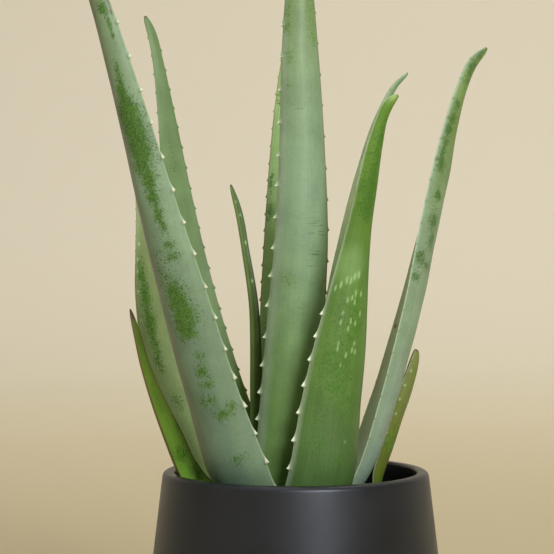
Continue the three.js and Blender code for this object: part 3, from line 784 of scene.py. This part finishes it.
def aloe_skin(name, skin):
    """Waxy aloe skin: three greens along the back, two along the gutter, a border on either side,
    lengthwise streaks about 1.2 mm wide, rubbed patches broken up by a grain of 1.7 mm, blots of
    4.5 mm and dots of 1 mm, pale horny margins and teeth, dry tips."""
    material, tree = new_material(name)

    def read(kind):
        return add(tree, "Attribute", attribute_name=kind).outputs["Fac"]

    def combine(operation, a, b):
        return add(tree, "Math", {0: a, 1: b}, operation=operation).outputs[0]

    def cover(factor, under, code):
        return blend(tree, factor, under, paint(code))

    solid = add(tree, "TexCoord").outputs["Object"]
    ways = {0: read("across"), 1: read("along"), 2: read("back")}
    flat = add(tree, "CombineXYZ", ways).outputs[0]
    lines = add(tree, "Mapping", {"Vector": flat, "Scale": (800, 18, 5)}).outputs[0]
    streak = add(tree, "TexNoise", {"Vector": lines, "Scale": 1, "Detail": 3}).outputs["Fac"]
    cloud = add(tree, "TexNoise", {"Vector": solid, "Scale": 60, "Detail": 3}).outputs["Fac"]
    grain = add(tree, "TexNoise", {"Vector": solid, "Scale": 600, "Detail": 2}).outputs["Fac"]
    blot = add(tree, "TexNoise", {"Vector": solid, "Scale": 220, "Detail": 3}).outputs["Fac"]

    low, middle, high = skin["back"]
    tone = cover(ramp(tree, read("share"), 0.15, 0.5), paint(low), middle)
    tone = cover(ramp(tree, read("share"), 0.5, 0.85), tone, high)
    # On some leaves the gutter greens are painted light: paler than the leaf's own green where the
    # gutter lies in shade.
    root, tip = skin["gutter"]
    inside = cover(ramp(tree, read("share"), 0.15, 0.7), paint(root), tip)
    tone = blend(tree, read("back"), inside, tone)
    # Some borders are painted shade, darkening a side that turns from the light, and on two leaves
    # a cast shadow.
    tone = cover(read("left"), tone, skin["left"][0])
    tone = cover(read("right"), tone, skin["right"][0])

    def uneven(noise, amount):
        return ramp(tree, noise, 0.3, 0.7, -amount, amount)

    light = combine("ADD", uneven(streak, skin["lines"]), uneven(cloud, 0.09))
    light = combine("ADD", combine("ADD", light, uneven(grain, 0.04)), 1.0)
    tone = blend(tree, 1.0, tone, light, blend_type="MULTIPLY")

    fade = ramp(tree, read("rub"), 0.02, 0.3)
    mottle = combine("ADD", combine("MULTIPLY", grain, 0.6), combine("MULTIPLY", blot, 1.3))
    bare = ramp(tree, combine("ADD", read("rub"), mottle), 1.15, 1.95, 0, 0.95)
    bare = combine("MULTIPLY", bare, fade)
    tone = cover(bare, tone, skin["rubbed"])
    dots = add(tree, "TexNoise", {"Vector": solid, "Scale": 950, "Detail": 1}).outputs["Fac"]
    dots = combine("ADD", combine("MULTIPLY", read("rub"), 0.14), dots)
    dots = combine("MULTIPLY", ramp(tree, dots, 0.58, 0.72, 0, 0.75), fade)
    tone = cover(dots, tone, skin["dots"])
    tone = cover(combine("MULTIPLY", read("yellow"), 0.8), tone, "#8fb04e")
    lash = add(tree, "Mapping", {"Vector": flat, "Scale": (70, 950, 5)}).outputs[0]
    lash = add(tree, "TexNoise", {"Vector": lash, "Scale": 1, "Detail": 1}).outputs["Fac"]
    lash = combine("MULTIPLY", ramp(tree, lash, 0.62, 0.68, 0, 0.7), read("scar"))
    tone = cover(lash, tone, "#4f6444")
    tone = cover(ramp(tree, read("fleck"), 0.1, 1.0, 0, 0.7), tone, "#a6c98a")
    pale, strength = skin["edge"]
    tone = cover(ramp(tree, read("margin"), 0.0003, 0.0011, strength, 0), tone, pale)
    tone = cover(ramp(tree, read("tooth"), 0.0004, 0.0012), tone, skin["tooth"])
    brown = ramp(tree, combine("ADD", read("dry"), combine("MULTIPLY", grain, 0.5)), 0.55, 0.95)
    tone = cover(brown, tone, "#5f4a2c")

    height = combine("ADD", combine("MULTIPLY", streak, 0.6), combine("MULTIPLY", grain, 0.4))
    relief = add(tree, "Bump", {"Height": height, "Strength": 0.22, "Distance": 0.0003}).outputs[0]
    dullness = ramp(tree, bare, 0, 1, 0.5, 0.38)
    shader = add(tree, "BsdfPrincipled",
                 {"Base Color": tone, "Roughness": dullness, "Normal": relief})
    shader.inputs["IOR"].default_value = 1.45
    finish_with(tree, shader)
    return material


for number, (name, leaf) in enumerate(LEAVES.items()):
    points, values = leaf_grid(leaf, FIRST_SEED + number)
    blade = grid_mesh(name.replace("leaf", "blade"), points)
    for kind, numbers in {**values, **mark_masks(leaf, points, values)}.items():
        attach(blade.data, kind, numbers)
    blade.data.materials.append(aloe_skin(name.replace("leaf", "skin"), leaf["skin"]))
    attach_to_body(blade, "root")
    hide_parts(name)

# --- Floor, light and camera -------------------------------------------------------------------
# A warm pale floor that turns up into a wall far round the plant, its paint deeper near the plant
# as painted shade, a soft light from the front right, weaker ones from the left and from above, one
# on the wall, and the level view.

STAGE_FLAT = 2.7
STAGE_BEND = 3.0
STAGE_WALL = 5.0

stage_profile = np.concatenate([
    [[0.01, 0]], arc((STAGE_FLAT, STAGE_BEND), STAGE_BEND, -90, 0, 40),
    [[STAGE_FLAT + STAGE_BEND, STAGE_WALL]],
])
backdrop = grid_mesh("floor_and_wall", turned(stage_profile, 96)[:, ::-1], caps=(True, False))
plaster, tree = new_material("warm_pale_paint")
place = add(tree, "TexCoord").outputs["Object"]
distance = add(tree, "VectorMath", {0: place}, operation="LENGTH").outputs["Value"]
# Painted shade: the paint is deeper near the plant and grows paler out to the wall.
tone = blend(tree, ramp(tree, distance, 0.2, 4.4), paint("#bbae8c"), paint("#dbd5c4"))
finish_with(tree, add(tree, "BsdfPrincipled", {"Base Color": tone, "Roughness": 0.9}))
backdrop.data.materials.append(plaster)


def soft_light(name, place, aim, size, watts, colour):
    """A square area light at place that looks at aim."""
    lamp = bpy.data.lights.new(name, "AREA")
    lamp.size, lamp.energy, lamp.color = size, watts, paint(colour)[:3]
    made = bpy.data.objects.new(name, lamp)
    made.location = place
    way = made.location.copy()
    way.x, way.y, way.z = (aim[k] - place[k] for k in range(3))
    made.rotation_euler = way.to_track_quat("-Z", "Y").to_euler()
    made.visible_camera = False
    bpy.context.collection.objects.link(made)


soft_light("window_light", (1.0, -2.6, 1.45), (0, 0, 0.3), 0.9, 74, "#f8faff")
soft_light("left_fill", (-2.2, -1.6, 1.2), (0, 0, 0.25), 2.0, 4, "#fff6ec")
soft_light("ceiling_light", (-0.4, -0.7, 3.0), (0, 0, 0.3), 3.0, 18, "#ffffff")
soft_light("wall_light", (0.6, 1.2, 3.6), (0.3, 5.6, 0.8), 2.0, 110, "#fffaf2")

world = bpy.data.worlds.new("soft_daylight")
world.use_nodes = True
world.node_tree.nodes["Background"].inputs["Color"].default_value = paint("#f3f1ea")
world.node_tree.nodes["Background"].inputs["Strength"].default_value = 0.32
bpy.context.scene.world = world
bpy.context.scene.view_settings.view_transform = "Standard"

camera = bpy.data.cameras.new("photograph_view")
camera.lens, camera.sensor_width = VIEW_LENS, VIEW_SENSOR
camera.clip_end = 50
view = bpy.data.objects.new("photograph_view", camera)
view.location = VIEW_PLACE
view.rotation_euler = (math.pi / 2, 0, 0)
bpy.context.collection.objects.link(view)
bpy.context.scene.camera = view
